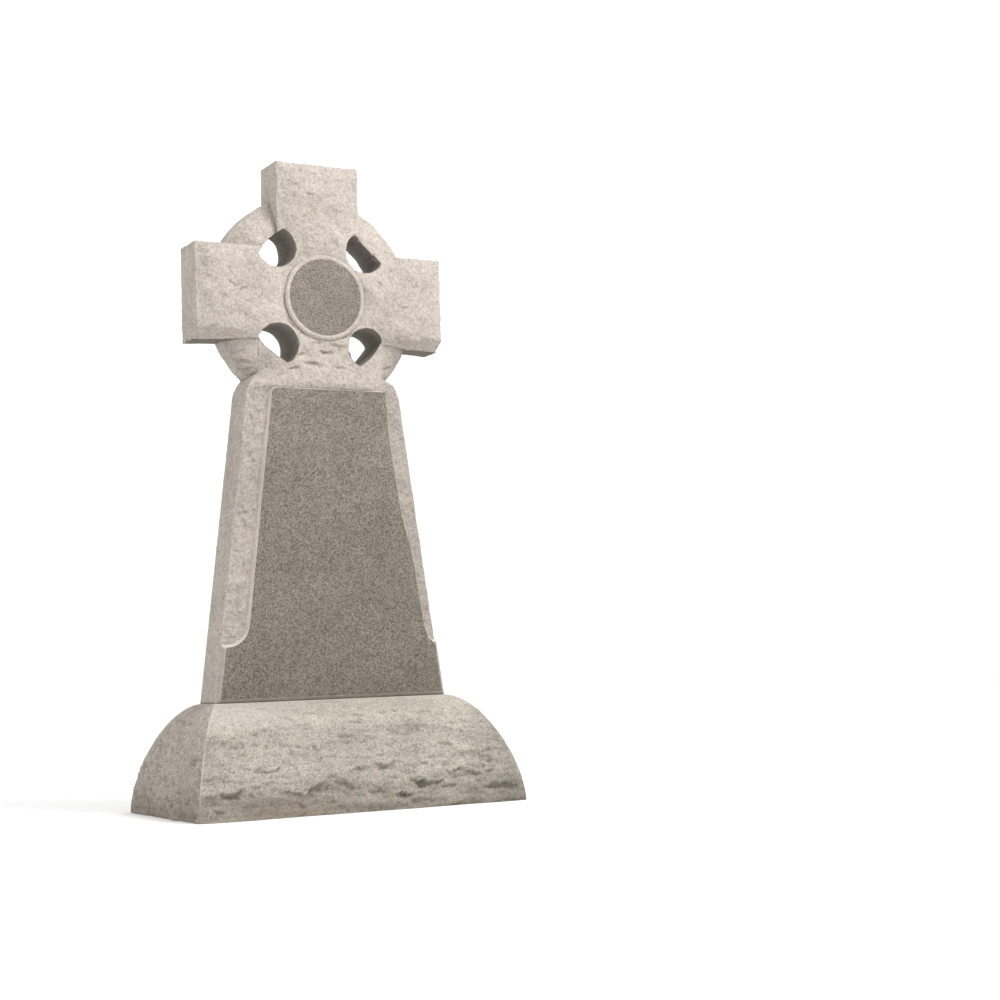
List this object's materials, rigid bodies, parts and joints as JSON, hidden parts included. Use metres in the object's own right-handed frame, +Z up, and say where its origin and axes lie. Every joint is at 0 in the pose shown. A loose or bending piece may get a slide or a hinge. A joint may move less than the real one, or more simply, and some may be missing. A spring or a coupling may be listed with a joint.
{
  "type": "celtic cross headstone",
  "caption": "Rock-faced granite ringed cross on a tapering shaft with a raised smooth panel, standing on a curved rock-pitched base.",
  "frame": {"origin": "middle of the base's underside, on the ground", "axes": "+Z up along the cross, -Y out of the front with the disc and the panel, +X towards the arm on the right as seen from the front"},
  "size_m": [0.783, 0.4693, 1.466],
  "materials": {
    "base_stone": "rough, rock-pitched granite",
    "cross_stone": "rough granite, fine-dressed on the panel and the disc"
  },
  "bodies": {
    "root": {"base": "base_stone", "cross": "cross_stone"}
  },
  "joints": []
}
